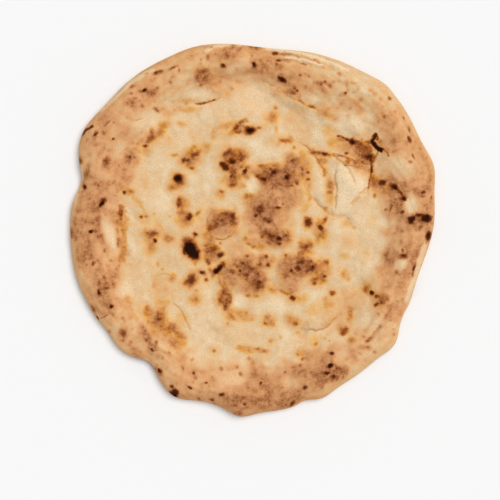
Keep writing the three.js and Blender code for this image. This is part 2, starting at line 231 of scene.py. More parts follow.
# Golden to charred strokes of the floor and of the rim's foot.
FLOOR_STROKES = [
    Stroke(4.2, 0.49, [(-6, 88), (-10, 86), (-13, 83), (-13.5, 80), (-10.5, 79.4)]),
    Stroke(2, 0.56, [(-12.6, 84), (-14.4, 81.5), (-13.5, 79.4), (-10.5, 79.2)]),
    Stroke(4, 0.4, [(-4, -10.5), (1, -13), (7, -13)]),
    Stroke(1.3, 0.44, [(-27, -34), (-27, -38), (-25, -43), (-23, -46)]),
    Stroke(1.3, 0.46, [(-36, -2), (-31, -6), (-24, -7.2), (-17, -4)]),
    Stroke(3.4, 0.25, [(-96, 27), (-90, 23), (-87.5, 17), (-88, 12)]),
    Stroke(4, 0.34, [(-11, -93), (-2, -95), (5, -95), (11, -96.3)]),
    Stroke(3, 0.97, [(95.2, 70.8), (97.5, 68.6), (100, 66), (103.4, 64)]),
    Stroke(2.8, 0.84, [(95.5, 71.5), (96.3, 74.5), (98.2, 76.4)]),
    Stroke(1.8, 0.66, [(98.2, 76.2), (99.4, 75), (99.4, 73)]),
    Stroke(2.2, 0.56, [(104, 64), (106, 61.5), (108, 59)]),
    Stroke(2.2, 0.62, [(68.5, 75.7), (73, 74.2), (77, 72.4)]),
    Stroke(4, 0.52, [(76, 72.4), (80, 71), (86, 69.8)]),
    Stroke(6, 0.54, [(83, 69), (88, 66), (93, 64)]),
    Stroke(2.2, 0.62, [(110, 36.5), (115, 33), (118, 30), (120.5, 25)]),
    Stroke(2.8, 0.44, [(65, 61), (70, 60), (74, 58.4), (79, 56.2), (83, 54.4), (88, 54.8)]),
    Stroke(2.8, 0.4, [(51, 59), (54, 53), (56.5, 50), (58, 46.5), (57.5, 44)]),
    Stroke(4, 0.54, [(-106, 19), (-105, 14), (-106, 9)]),
    Stroke(6, 0.37, [(-104.5, 18), (-103.5, 4), (-103, -10), (-104, -24)]),
]

# Browned patches and scorches of the rim.
RIM_SCORCHES = spot_list(
    # top and upper left
    (-15.3, 147.4, 4.8, 1.6, 60), (-33, 145.7, 4, 1.6, 55, 20), (-15.7, 144.4, 24, 9.6, 45),
    (-20, 138.5, 26, 9, 45), (-35.7, 137, 3.2, 6.4, 50), (-23.7, 130.8, 4.8, 3.2, 80, -35),
    (-40.5, 122, 15, 14, 47), (-44, 122, 6, 5, 50), (-39.8, 126.4, 3.6, 2.6, 62),
    (-36.5, 122.4, 3.2, 3.2, 50), (-30, 119.5, 20, 11, 35, 10), (-4, 126, 12, 6, 30, 15),
    (12, 130, 26, 16, 40, -10), (-82, 116, 22, 10, 36, 40), (-41.3, 115.9, 3.2, 2.4, 60),
    (1.3, 131.6, 4.8, 3.6, 95, -70), (1.6, 146.6, 11, 6, 52), (18.1, 140.9, 6.4, 4, 70),
    (27, 140.6, 12, 2, 46, -4), (27, 135.8, 12, 2, 46, -4), (20.3, 135.3, 5.6, 2.4, 66),
    (19.1, 132.6, 2.4, 2.4, 67), (-85.9, 111.1, 4.4, 3.2, 95, 35),
    (-80.5, 109.2, 10.5, 6.2, 56, 10), (-96.5, 108.6, 2.8, 2.4, 60),
    (-95.5, 114.6, 5.6, 3.2, 55, 30), (-96.5, 101, 10, 9, 48), (-76.9, 96.4, 6.4, 3.2, 57, -45),
    (-75.1, 125.4, 8.8, 4, 65, 20), (-76.9, 125.2, 2.4, 2.4, 78), (-84.3, 124.6, 3.2, 1.6, 55, 25),
    (-63.2, 129.1, 7.2, 1.8, 69, 25), (-58.3, 126.8, 2.4, 4, 53), (-65.3, 117.7, 3.6, 3.6, 51),
    (-51.7, 116.7, 1.8, 1.8, 45), (-87.9, 135, 1.8, 1.8, 60), (-72, 137.6, 5.6, 1.4, 50, 15),
    (-64.1, 142.8, 2.4, 2.4, 50), (-124.5, 76.2, 5.6, 3.2, 78, 45),
    (-115.1, 84.9, 6.4, 1.6, 68, 50), (-131.4, 71.6, 4, 1.4, 62, 50), (-110.5, 85.8, 2.4, 2.4, 50),
    (-110.7, 72.6, 2.4, 2.4, 78), (-97.9, 59.4, 2.6, 3.2, 75), (-98, 56.5, 14, 12, 42),
    (-93.8, 58, 2.4, 2.4, 58), (-137.3, 55.6, 4, 6.4, 61), (-116.5, 54.8, 9.6, 5.6, 62, 70),
    (-102.6, 49.2, 3.2, 3.2, 42), (-131.1, 46.6, 14.4, 5.6, 50, 80),
    (-133.8, 34.8, 5.6, 3.2, 83, -70), (-122.8, 35.6, 2, 3.2, 61), (-118.4, 100.2, 3.2, 3.2, 45),
    (-96, 64, 9, 8, 41),
    # upper right and right
    (23.6, 120.4, 8.8, 4, 97, -32), (37.7, 123.2, 3.2, 2.4, 62), (44.5, 122.4, 2.4, 2.4, 50),
    (35.5, 111.4, 2.4, 3.2, 72), (33.5, 113.6, 2.4, 2.4, 55), (33.1, 109.4, 2.4, 2.4, 50),
    (54.6, 116.2, 4, 4.8, 58), (57.5, 118, 3.2, 3.2, 60), (61.3, 115, 4.8, 3.2, 58, -35),
    (73.9, 108.9, 2.4, 2.4, 70), (74.7, 116.2, 3.2, 5.6, 43), (69.9, 107.6, 3.2, 3.2, 40),
    (42.2, 114, 3.2, 3.2, 45), (85.9, 104, 4, 3.2, 42), (108.8, 104.8, 3.2, 2.8, 62, -40),
    (113.1, 94.2, 3.2, 3.2, 45), (103.1, 98, 3.2, 2.4, 43), (106, 87, 20, 20, 32),
    (83, 101, 20, 8, 29, -15), (62, 96, 15, 8, 28, -10), (116, 70, 20, 17, 36),
    (107, 62.5, 7, 7, 47), (113, 64, 8, 7, 42), (120, -24, 9, 9, 40), (97, -40, 9, 11, 26),
    (32, 112, 11, 9, 46, -10), (56, 112, 10, 7, 36, -20), (112, 70.5, 8, 8, 52),
    (112, 27, 25, 32, 42), (120, 89.5, 4, 1.6, 70, -70), (124.5, 79.9, 5.6, 1.8, 66, -68),
    (124.3, 72.1, 7.2, 4, 70, -70), (127.5, 58.8, 6.4, 1.8, 70, -65), (125.1, 54.2, 4, 3.2, 50),
    (104, 38.5, 6.6, 5, 82, -10), (113.1, 34.8, 6.2, 4.4, 94, -30),
    (117.9, 30.2, 4.4, 1.8, 76, -50), (120.3, 25.4, 4.8, 4, 92), (135.4, 30.2, 6.4, 3.2, 75, 20),
    (134.7, 27.2, 4.8, 3.2, 60), (142.3, 26.2, 2.4, 3.2, 60), (113.4, 24.9, 2.4, 2.4, 60),
    (110.3, 17.8, 5.6, 2, 66, 70), (106.3, 16.7, 2.4, 2.4, 61), (118.5, 20.6, 2.4, 2.4, 60),
    (119.3, 15, 3.2, 3.2, 68), (126.3, 8.4, 7.2, 6.2, 90, 60), (137.8, 9.4, 10.6, 7, 94),
    (132, 12, 7.2, 3.2, 84), (133.3, 2, 7.2, 3.2, 55, 60), (131, 7.6, 22, 10, 52),
    (139.8, -4.2, 9, 5.2, 93, 80), (111.5, -16.4, 9.6, 9.6, 48), (119.1, -15.9, 2.4, 3.2, 65),
    (119.8, -20.3, 6.6, 4, 78, 10), (128.3, -30, 7, 2.8, 74, 75), (127.5, -35, 2.4, 4.8, 60),
    (114.4, -33.2, 2.4, 3.2, 58), (125.9, -24.4, 3.2, 3.2, 50), (128, 30, 15, 9, 42),
    # lower right and bottom
    (102, -55, 13, 12, 43), (112.7, -82.8, 4, 3.2, 45), (78.7, -87.3, 6.4, 4, 45),
    (87.7, -93, 8, 4.8, 42), (62.7, -97.8, 4, 3.2, 83), (61.7, -107.4, 5.6, 4, 96, 20),
    (58.8, -113.2, 6.6, 2.8, 88, 10), (52, -114, 18, 13, 46), (58, -103, 13, 11, 46, 20),
    (45, -101, 16, 9, 33, 10), (-10, -136, 36, 16, 43), (38, -126, 15, 14, 41),
    (64.4, -115.9, 3.2, 3.2, 81), (41.4, -124.8, 4.8, 3.2, 80, 40), (31.7, -137.8, 8, 4, 70, 50),
    (6.3, -121.2, 3.2, 3.2, 78), (9.7, -123.3, 4, 2.4, 50), (8, -119, 11, 8, 45),
    (36.6, -98.8, 4, 3.2, 45), (39.7, -103, 2.4, 2.4, 65), (25.9, -112.9, 3.2, 3.2, 50),
    (38.7, -114.6, 12, 8, 45), (53.9, -121.2, 16, 8, 50, 20), (66.4, -111.2, 6.4, 9.6, 50),
    (67.5, -113.2, 16, 13, 52, 20), (40, -97, 13, 8, 32, 10),
    # bottom left and left
    (-79.8, -94.8, 5.6, 2.4, 71, -60), (-76.7, -89.2, 3.2, 4.8, 59), (-84.5, -87, 3.2, 4, 55),
    (-87.1, -78.4, 9.6, 4.8, 40, -50), (-82.1, -86.8, 23, 8, 50, -57),
    (-74.4, -111.7, 4.8, 3.2, 85, -50), (-46.7, -113.2, 3.2, 3.2, 75),
    (-56.3, -108.4, 3.2, 3.2, 45), (-36.9, -121, 4, 2, 72), (-49.8, -124.7, 4.8, 2.8, 76, -30),
    (-64.1, -124.1, 4, 4, 75), (-62.4, -129.2, 6.4, 6.4, 88), (-61.9, -131.9, 3.2, 3.2, 95),
    (-24.3, -130.2, 5.6, 3, 80, 15), (-31.9, -135, 4, 2.6, 68, -25),
    (-42.9, -134, 4, 1.8, 70, -30), (-30.4, -139.6, 3.2, 3.2, 60), (-6.3, -137.8, 3.2, 2.8, 72),
    (-11.4, -145.4, 8, 7.2, 55), (-9.7, -114.6, 4.8, 3.2, 55, -45), (-12.7, -109.2, 3.2, 3.2, 50),
    (-2.9, -102.5, 3.2, 3.2, 45), (0.3, -108, 5, 10, 42, 10), (-121.9, -49.4, 4.8, 2.8, 85, -75),
    (-118.7, -42.6, 14.4, 9.6, 52), (-111, -42.7, 2.8, 3.2, 57), (-111.9, -60.5, 4, 4, 94),
    (-111.1, -66.8, 3.2, 3.2, 50), (-127.1, -62.6, 8, 3.2, 60, -65), (-124.3, -70.8, 4, 6.4, 70),
    (-102.5, -82, 4, 6.4, 67), (-102.5, -82, 8, 12, 50), (-102.9, -87.6, 3.2, 3.2, 55),
    (-92.5, -97, 13, 8, 46, -35), (-144.2, -2, 4, 8.8, 58), (-128.6, -1, 4, 3.4, 92, 20),
    (-124.6, -0.4, 6, 3, 52), (-132.7, 6.2, 2.4, 3.6, 51), (-124.5, 8.6, 3.2, 3.2, 42),
    (-126.7, -26.3, 4.8, 3.2, 65, 50), (-131.8, -27.2, 3.2, 3.2, 50),
    (-118.1, -37.6, 2.4, 3.2, 60), (-121.7, -41.4, 3.2, 3.2, 58), (-116.2, -45.6, 6.4, 3.2, 60),
    (-132.3, -18, 8, 6.4, 48), (-121.7, -5.7, 7.2, 8, 48), (-119.7, 21.5, 8, 3.2, 100, 60),
    (-113.9, 15.8, 5.6, 1.8, 45, 65), (-123, 8, 12, 16, 41), (-117, -54, 12, 32, 41, 20),
    (-120, 16, 9, 10, 43),
)

# Pale windows, where the crust has stayed floury, and a few painted highlights that lighten shaded
# slopes, marked below. Their bake is the share of browning lost.
PALE_WINDOWS = spot_list(
    (-0.5, 36.4, 7.2, 9.6, 90), (79, 84.5, 22, 12, 70, -15), (92.3, 93.4, 11, 4, 65, -50),
    (-10.5, -56.4, 8, 8, 80), (-113.8, -4, 6, 22, 70, 17), (-65.6, -68.2, 6, 8, 40),
    (-43, 109.5, 17, 8, 65), (-6, 102, 28, 17, 30), (-12, 131, 17, 4.5, 35, 25),
    (-85, 87, 18, 11, 60, 45), (49, 106, 14, 6, 20), (1, 110, 18, 13, 40), (86, 6, 18, 30, 35),
    (69, -86, 14, 10, 40), (90, -73, 9, 9, 40), (98, -75, 11, 10, 40, 30), (17, -110, 18, 8, 28),
    (72, -96, 11, 8, 30, 30), (-40, -104, 13, 9, 40, -10), (-72, -88, 11, 8, 35, -40),
    (-103, -48, 9, 11, 50, -20), (113, -13, 10, 14, 25), (104, 24, 8, 11, 30), (112, 8, 9, 11, 25),
    (112, 48, 10, 9, 30), (96, 25, 7, 8, 40), (-56, 72, 9, 8, 40), (53, 36, 9, 19, 45),
    (96, 80, 11, 7, 35, -40), (-1, 119, 13, 7, 35), (-16, 120, 13, 7, 20, 10),
    (-106, 64, 9, 8, 30, 60), (-56, 120, 12, 7, 30, 25), (16, 120, 11, 8, 20),
    (16, -63, 13, 8, 40), (-107, 24, 15, 12, 30), (-17, 128, 10, 5, 40, 25),
    # (102, 53) and (117.5, 50.5) on the rim's inner slope at the upper right, and (73.5, 36) and
    # (83, 37) on the pillow, are painted light that lightens their shade.
    (-64, 104, 11, 8, 30, 40), (31, -121, 11, 7, 30), (102, 53, 14, 16, 35),
    (73.5, 36, 15, 34, 95, 5), (83, 37, 14, 18, 85), (117.5, 50.5, 20, 14, 42),
    (126, 20.4, 7, 11, 70), (118, -26.6, 7, 6, 70, 30), (-13.6, -118, 17.6, 11.2, 40),
    (-137.6, 46.8, 3.2, 12.8, 60), (-141.7, 28.9, 3.2, 11.2, 60),
)

# Ridges of the rim, raised a little, with a painted highlight in the pale colour along each crest.
PAINTED_HIGHLIGHT_RIDGES = [
    Stroke(3, 0.5, [(-131, 91), (-118, 98.5), (-106, 109), (-95, 119.5), (-80, 127.5)]),
    Stroke(2.6, 0.8, [(11, 145.5), (24, 143.2), (36, 141.5), (48, 139), (62, 133.5), (75, 127.5)]),
    Stroke(2.4, 0.7, [(26, 137.8), (40, 136), (54, 131.5)]),
    Stroke(3.4, 0.5, [(138, -10), (133.6, -23), (129.3, -38), (122.5, -56)]),
    Stroke(3, 0.6, [(-37, 142.5), (-31, 146.5), (-22, 148), (-10, 148.3)]),
]

# Lines in the crust: folds, splits and the stroke where the rim meets the floor. The ledge is
# how far the ground on the left of the line's way stands above that on its right. Golden says
# which of the two ways the line browns in. A line's bake is browning in the splits and scorched
# lines, and painted shade in the folds marked below.
CREASES = [
    Crease(2.2, 0, 0, 0.35, True, [(-31.2, 77.5), (-26.3, 83.3), (-19.7, 85.4)]),
    Crease(2, 0.8, 0.9, 0.8, False, [(-30.5, 104.9), (-35, 103.2), (-40, 102), (-46, 101.6)]),
    Crease(1.4, 0.3, 0, 0.4, False, [(-97, 87.2), (-87.7, 89.2)]),
    Crease(2.4, 0.3, -0.6, 0.28, True, [(-30.1, 104.7), (-24, 108), (-17, 112)]),
    Crease(1.3, 0.6, -0.6, 0.55, False, [(13, 117), (16.5, 115.6), (20, 113.5)]),
    Crease(2.8, 0.6, -0.9, 0.43, True, [(25, 108.5), (28, 105.5), (33, 104.6), (37.5, 104)]),
    Crease(3.6, 0.7, -0.9, 0.6, True, [(37.5, 104), (44.3, 99.9), (50, 98.4)]),
    Crease(4, 0, 0, 0.38, True, [(37.9, 62), (45.9, 38.8), (45.1, 24.4)]),
    Crease(1.6, 1, 2, 0.5, True, [(100.5, 64), (97.5, 58.5), (95, 56)]),
    Crease(2.6, 1, 2.8, 0.78, True, [(94.8, 56.5), (94.8, 52), (95.2, 47)]),
    Crease(1.8, 0.8, 1.6, 0.66, True, [(95, 47), (93.6, 42), (92.8, 38), (92.6, 34)]),
    # painted shadow: a thin line of shade along the edge of a fold
    Crease(1.4, 0.5, -0.7, 0.16, True, [(31.5, 72), (33.8, 77), (36, 83), (36, 88)]),
    Crease(1.4, 0.7, 0.9, 0.5, True, [(39.5, 69.6), (42.5, 68), (45.5, 65), (48.5, 61.5)]),
    Crease(
        1.6, 0.8, 0.5, 0.5, True,
        [(48.5, 61.8), (57, 61.3), (64, 60.4), (68.5, 57), (71, 54.5), (73.5, 52.2)],
    ),
    Crease(1.8, 0.5, 0.5, 0.6, True, [(73.5, 52), (81, 51.5), (89, 51.6)]),
    Crease(2, 1.3, 0.9, 0.36, True, [(73.5, 52), (76.5, 48), (79, 44.5), (81.5, 40)]),
    Crease(2, 1.2, 0.7, 0.28, True, [(66.5, 47.5), (65.4, 44), (65, 41), (66.5, 37)]),
    Crease(2, 1.3, 0.6, 0.4, True, [(66.5, 37), (67, 31), (66.5, 25), (66, 19)]),
    # The next two creases' bake is painted shade in the folds round the pillow.
    Crease(
        2, 1.8, -1.3, 0.36, True,
        [(92.2, 33.5), (89, 30.6), (86, 29), (83, 26), (80.5, 23), (78.5, 21.4)],
    ),
    Crease(2.6, 1.4, 1.7, 0.28, True, [(49.5, 25), (55, 18), (60, 14), (66, 12), (73, 10.5)]),
    # The next two creases' bake is painted shadow under the crescent flap.
    Crease(1.5, 0.7, 1.1, 0.32, True, [(38, -84), (39.5, -79), (42, -74), (46, -70.5)]),
    Crease(
        1.6, 0.8, 1.4, 0.36, True,
        [(46, -79.5), (52, -80), (58, -78), (63, -74), (66, -70)],
    ),
    # painted shadow: the shade in the rim's inner fold at the lower right
    Crease(
        4.8, 0.8, 0, 0.58, False,
        [(108.5, -60), (106, -68), (102, -76), (97, -83), (91, -88)],
    ),
    # The next two creases' bake is painted shade along the edges of the floor's dents.
    Crease(1.6, 0.8, 0.8, 0.3, True, [(-62, -59), (-57, -66), (-52, -75), (-50, -79)]),
    Crease(
        1.2, 0.6, 0.6, 0.3, True,
        [(-77.5, -48), (-80, -42), (-78, -37), (-70, -35), (-62, -36)],
    ),
    Crease(1.4, 0.4, 0.4, 0.36, True, [(-98.5, -60), (-95, -66), (-91, -70)]),
    Crease(
        1.3, 0.4, -1.1, 0.4, False,
        [
            (-37, 3), (-36, 10.5), (-32, 15.4), (-24, 17),
            (-15.5, 15.6), (-12.4, 10), (-13, 2), (-17, -4),
        ],
    ),
    Crease(4, 0.4, 0, 0.56, False, [(-107.8, 15), (-108, 4), (-107.8, -6), (-106.8, -17)]),
    Crease(1.4, 0.5, 0, 0.4, False, [(-3.2, 144.8), (-1.8, 140.4), (-1.5, 135.3)]),
    Crease(3.4, 0.3, 0, 0.88, False, [(-137.5, 75), (-133.5, 79.5), (-127.5, 83)]),
    Crease(1.6, 0.6, 0, 0.52, False, [(21.9, 140.6), (31.5, 140), (44, 136.6), (54, 133)]),
    Crease(1.6, 0.6, 0, 0.54, False, [(20, 135.6), (31.5, 134.5), (42, 132)]),
    Crease(1.8, 0, 0, 0.4, True, [(-7.5, -94.3), (5.9, -94.8)]),
    Crease(1.6, 0.5, 0, 0.55, False, [(-121.3, -70), (-114.1, -66)]),
    Crease(1.6, 0.6, 0, 0.5, False, [(-145.5, -6), (-132.7, -4.7)]),
]

# Soft pillows and hollows of the folded crust, each a band along a line.
BANDS = [
    Band(17, -3.3, [(2, 111), (13, 104), (24, 95), (32, 88), (37, 79)]),
    Band(14, 1.4, [(34, 107), (46, 100), (55, 93)]),
    Band(20, 3.6, [(34, 112), (46, 107), (59, 101), (71, 94), (82, 84), (91, 73), (99, 62)]),
    Band(20, 1.8, [(74, 46), (79, 36), (82, 28)]),
    Band(8, 0.8, [(49.1, 56.4), (53.9, 42), (54, 30)]),
    Band(6.5, -1.6, [(49, 27), (53, 19), (59.5, 14), (69.9, 11.6), (75.5, 10)]),
    Band(6, -0.6, [(79.5, -3.6), (82.7, -9.2)]),
    Band(9, -2, [(27, 84), (26, 78), (28, 72)]),
    Band(8, -1.8, [(-33, -44), (-34, -52), (-34, -60)]),
    Band(10, -1.2, [(-37, -80), (-30, -86), (-24, -92)]),
    Band(7, -1.8, [(39, -85), (40.5, -78), (44, -72), (49, -69)]),
    Band(7, -1.8, [(50, -83), (58, -81), (64, -76.5), (69, -70)]),
    Band(10, 1, [(50, -75), (58, -72)]),
    Band(15, 1.5, [(101, 57), (102, 50)]),
    Band(12, -1.6, [(58, -63), (72, -53), (87, -44)]),
    Band(13, 1.6, [(86, -24), (93, -36), (94, -44)]),
    Band(11, 1.2, [(47, -72), (56, -74), (62, -69)]),
    Band(14, 1.4, [(88, -62), (93, -72)]),
]

# How far the floor reaches from the round's middle before the rim's crust begins, by bearing.
RIM_INNER_EDGE = [
    (0, 107), (32, 110), (58, 106), (75, 108), (90, 113), (105, 106), (118, 109), (135, 111),
    (150, 105), (180, 100), (195, 108), (205, 115), (225, 113), (250, 118), (270, 115), (285, 115),
    (305, 117), (322, 120), (340, 108),
]

# How brown the rim's crust is, by bearing. From 32° to 60° it is painted paler: painted light that
# offsets the shade of the rim's inner slope there.
RIM_TONES = [
    (0, 0.4), (20, 0.36), (32, 0.27), (45, 0.15), (60, 0.2), (75, 0.28), (90, 0.31), (105, 0.26),
    (120, 0.23), (135, 0.29), (150, 0.31), (165, 0.38), (180, 0.42), (195, 0.29), (210, 0.33),
    (225, 0.24), (240, 0.32), (255, 0.3), (270, 0.45), (285, 0.4), (300, 0.32), (315, 0.27),
    (330, 0.29), (345, 0.43),
]

# How golden that browning is, by bearing.
RIM_GOLD = [(0, 0), (20, 0.15), (60, 0.1), (105, 0.25), (120, 0.15), (140, 0)]

# How brown the outer flank of the rim is, by bearing. From 190° to 215° it is painted paler:
# painted light that offsets the shade that flank is in.
FLANK_TONES = [
    (0, 0.32), (25, 0.22), (45, 0.14), (75, 0.15), (95, 0.26), (120, 0.33), (150, 0.3),
    (165, 0.22), (190, 0.18), (215, 0.17), (250, 0.32), (280, 0.36), (295, 0.24), (305, 0.15),
    (325, 0.12), (340, 0.12),
]

# Stops of the two ways in which the dough browns: bake, then the colour as shown on a screen.
CRUST_STOPS = [
    (0.0, (231, 206, 168)),
    (0.1, (224, 190, 147)),
    (0.2, (222, 178, 127)),
    (0.3, (220, 163, 112)),
    (0.4, (205, 146, 97)),
    (0.5, (177, 118, 75)),
    (0.6, (148, 87, 46)),
    (0.7, (112, 54, 24)),
    (0.82, (90, 41, 15)),
    (0.92, (58, 25, 9)),
    (1.0, (32, 13, 5)),
]
GOLD_STOPS = [
    (0.0, (231, 206, 168)),
    (0.08, (225, 196, 154)),
    (0.18, (225, 186, 128)),
    (0.28, (224, 170, 96)),
    (0.38, (211, 146, 70)),
    (0.48, (187, 117, 51)),
    (0.58, (156, 85, 33)),
    (0.7, (112, 53, 20)),
    (0.82, (90, 41, 13)),
    (0.92, (58, 25, 9)),
    (1.0, (32, 13, 5)),
]



def screen_colour(red, green, blue):
    """A screen's colour, 0 to 255, as Blender's linear red, green and blue."""
    shares = (red / 255, green / 255, blue / 255)
    return tuple(s / 12.92 if s <= 0.04045 else ((s + 0.055) / 1.055) ** 2.4 for s in shares)


class DoughSettings(bpy.types.PropertyGroup):
    """The dough's fine relief, and the pale colour of its floury crust and painted highlights."""

    pillow_height: bpy.props.FloatProperty(
        name="Pillow height",
        description="Height of the soft pillows between the hollows of the crust",
        default=3 * MM,
        unit="LENGTH",
    )
    blister_rise: bpy.props.FloatProperty(
        name="Blister rise",
        description="How far a browned patch bulges up",
        default=0.9 * MM,
        unit="LENGTH",
    )
    wrinkle_height: bpy.props.FloatProperty(
        name="Wrinkle height",
        description="Height of the wrinkles that run round the rim",
        default=0.8 * MM,
        unit="LENGTH",
    )
    pimple_height: bpy.props.FloatProperty(
        name="Pimple height",
        description="Height of the fine bumps all over the crust",
        default=0.08 * MM,
        unit="LENGTH",
    )
    scorch_rise: bpy.props.FloatProperty(
        name="Scorch rise",
        description="How far a charred bubble stands up",
        default=0.6 * MM,
        unit="LENGTH",
    )
    # The same pale colour serves the floury crust and the painted highlights.
    flour_and_highlight_colour: bpy.props.FloatVectorProperty(
        name="Flour",
        description="Colour of the floury, unbrowned crust",
        subtype="COLOR",
        default=screen_colour(240, 213, 174),
    )


class StageSettings(bpy.types.PropertyGroup):
    """The floor, the lights and the camera."""

    camera_height: bpy.props.FloatProperty(
        name="Camera height",
        description="Height of the camera above the widest line of the base",
        default=1.3,
        unit="LENGTH",
    )
    view_width: bpy.props.FloatProperty(
        name="View width",
        description="Width of the picture at the widest line of the base",
        default=0.4,
        unit="LENGTH",
    )
    view_middle: bpy.props.FloatVectorProperty(
        name="View middle",
        description="Where the camera looks straight down",
        size=2,
        default=(-2.1 * MM, -15.6 * MM),
        unit="LENGTH",
    )
    key_strength: bpy.props.FloatProperty(
        name="Key light",
        description="Strength of the broad light from the right",
        default=1.95,
    )
    fill_strength: bpy.props.FloatProperty(
        name="Fill light",
        description="Strength of the even light from all round",
        default=0.48,
    )
    floor_colour: bpy.props.FloatVectorProperty(
        name="Floor",
        description="Colour of the plain floor",
        subtype="COLOR",
        default=(0.9, 0.9, 0.9),
    )


MERGING = 5  # the higher, the less two spots add where they meet
CHARRED = 0.7  # bake from which a spot is a charred bubble
PATCH_WIDTH = 7  # a spot at least this wide and at most this brown is a broad patch
PATCH_BAKE = 0.6
STAIN_EDGE = 4.5  # width of the softest edge of a stain, and of a pale window
WINDOW_EDGE = 6
NEARBY = 11  # how far past its outline a spot can matter
FLOOR_BAKE = 0.07  # how brown the floor is between its stains, and how golden
FLOOR_GOLD = 0.12
HAZE = 0.21  # bake of the golden haze round the stains, which fades out over the reach
HAZE_REACH = 8
HALO = 0.46  # bake of the brown halo round a scorch, which fades out over the reach
HALO_REACH = 4
LEDGE_FADE = 5  # how far from a crease its ledge runs out

# Sizes of the sways that make every outline uneven, each with a seed for its two ways.
SWAYS = [(2.4, 1, 41), (5.5, 2, 42), (12, 3, 43)]
SEED_STEP = (17.3, 31.7, 5.1)  # how far noise moves on from one seed to the next

# Faint brown specks strewn over the rim, and scorched rounds over the underside: how many, and
# the ranges of their sizes and bakes.
SPECKS = 420
SPECK_SIZES = (1.4, 4.6)
SPECK_BAKES = (0.34, 0.52)
ROUNDS = 150
ROUND_SIZES = (6, 17)
ROUND_BAKES = (0.3, 0.8)
ROUNDS_REACH = 140

FOOT = 0.2 * MM  # up to here the dough lies flat on its underside
SMOOTHINGS = 3  # passes of smoothing after each split of the mesh
THINNEST = 2.2  # no hollow leaves the dough thinner than this

# The three grains of the crust's finish, coarse, fine and dust: size and number of octaves.
GRAINS = [(4.0, 3.0), (1.7, 2.0), (0.9, 1.0)]
FRECKLE_SPACING = 3.4
SHINE = 0.04
BUMP_STRENGTH = 0.12
BUMP_DEPTH = 0.35

FLOOR_HALF_WIDTH = 4  # of the stage, in metres
FLOOR_ROUGHNESS = 0.9
KEY_SPREAD, KEY_LEAN, KEY_TURN = (math.radians(angle) for angle in (35, 24, 35))
WIDEST_HEIGHT = 6 * MM  # of the base's widest line above the floor


def ease(low, high, value):
    """0 below low, 1 above high and a soft rise between them."""
    share = np.clip((value - low) / (high - low), 0, 1)
    return share * share * (3 - 2 * share)


def bell(apart, width):
    """1 on a line and a soft fall on both sides of it."""
    return np.exp(-((apart / width) ** 2))


def drift(points, size, seed):
    """Soft noise from about -1 to 1 at each point, with features of a size in millimetres."""
    away = Vector([step * seed for step in SEED_STEP])
    return np.array([noise.noise(Vector(p) / size + away) for p in points])


def by_bearing(table, bearing):
    """A value read from a list of bearings, going round the whole circle."""
    angles, values = zip(*table)
    return np.interp(bearing, angles, values, period=360)


def narrow(spot):
    """The smaller of a spot's two widths."""
    return min(spot.length, spot.width)


class Surface:
    """The dough's points in millimetres, with what the fields below need of them."""

    def __init__(self, points, normals):
        self.points = points
        self.x, self.y, self.z = points.T
        self.up = normals[:, 2]
        self.upper = ease(-0.3, 0.15, self.up)
        self.sways = [
            (drift(points, size, first), drift(points, size, second))
            for size, first, second in SWAYS
        ]
        (fine_x, self.fine_sway), (middle_x, self.middle_sway), (wide_x, _) = self.sways
        self.line_x = self.x + 0.7 * fine_x + 0.8 * middle_x
        self.line_y = self.y + 0.7 * self.fine_sway + 0.8 * self.middle_sway
        across, along = self.x - MIDDLE[0], self.y - MIDDLE[1]
        self.reach = np.hypot(across, along)
        self.bearing = np.degrees(np.arctan2(along, across)) % 360
        past = self.reach - by_bearing(RIM_INNER_EDGE, self.bearing)
        self.rim = ease(-6.5, 5, past + 8 * wide_x + 3 * middle_x)
        self.flank = ease(0.9, 0.45, self.up) * ease(14, 22, past)

    def round_rim(self, across, along):
        """Points for noise that runs round the rim, with features of two sizes in millimetres."""
        turn = np.radians(self.bearing)
        ring = EDGE_REACH / along
        return np.column_stack((self.reach / across, ring * np.cos(turn), ring * np.sin(turn)))

    def near(self, spot):
        """The points close to a spot, and how far out in its oval each is, with 1 at its edge."""
        room = 0.7 * max(spot.length, spot.width) + NEARBY
        picked = np.flatnonzero((abs(self.x - spot.x) < room) & (abs(self.y - spot.y) < room))
        small = narrow(spot)
        dx, dy = self.x[picked] - spot.x, self.y[picked] - spot.y
        for (size, *_), (sway_x, sway_y) in zip(SWAYS, self.sways):
            strength = 0.22 * min(small, size) * ease(0.5, 1.2, small / size)
            dx += strength * sway_x[picked]
            dy += strength * sway_y[picked]
        turn = math.radians(spot.turn)
        along = (dx * math.cos(turn) + dy * math.sin(turn)) / (spot.length / 2)
        aside = (dy * math.cos(turn) - dx * math.sin(turn)) / (spot.width / 2)
        return picked, np.hypot(along, aside)

    def along_line(self, line):
        """The points close to a line, how far each is from it, and which side each is on."""
        room = 3 * line.width + 8
        ends = np.array(line.points)
        low, high = ends.min(axis=0) - room, ends.max(axis=0) + room
        picked = np.flatnonzero(
            (self.x > low[0]) & (self.x < high[0]) & (self.y > low[1]) & (self.y < high[1])
        )
        px, py = self.line_x[picked], self.line_y[picked]
        nearest = np.full(len(picked), np.inf)
        side = np.zeros(len(picked))
        for (ax, ay), (bx, by) in zip(line.points, line.points[1:]):
            wx, wy = bx - ax, by - ay
            share = np.clip(((px - ax) * wx + (py - ay) * wy) / (wx * wx + wy * wy), 0, 1)
            dx, dy = px - ax - share * wx, py - ay - share * wy
            apart = np.hypot(dx, dy)
            closer = apart < nearest
            nearest[closer] = apart[closer]
            side[closer] = np.sign(wx * dy - wy * dx)[closer]
        return picked, nearest, side

    def across_stroke(self, stroke):
        """The points close to a stroke, and how far each is from it in the stroke's own widths."""
        picked, apart, _ = self.along_line(stroke)
        return picked, apart / (stroke.width * (1 + 0.6 * self.middle_sway[picked]))


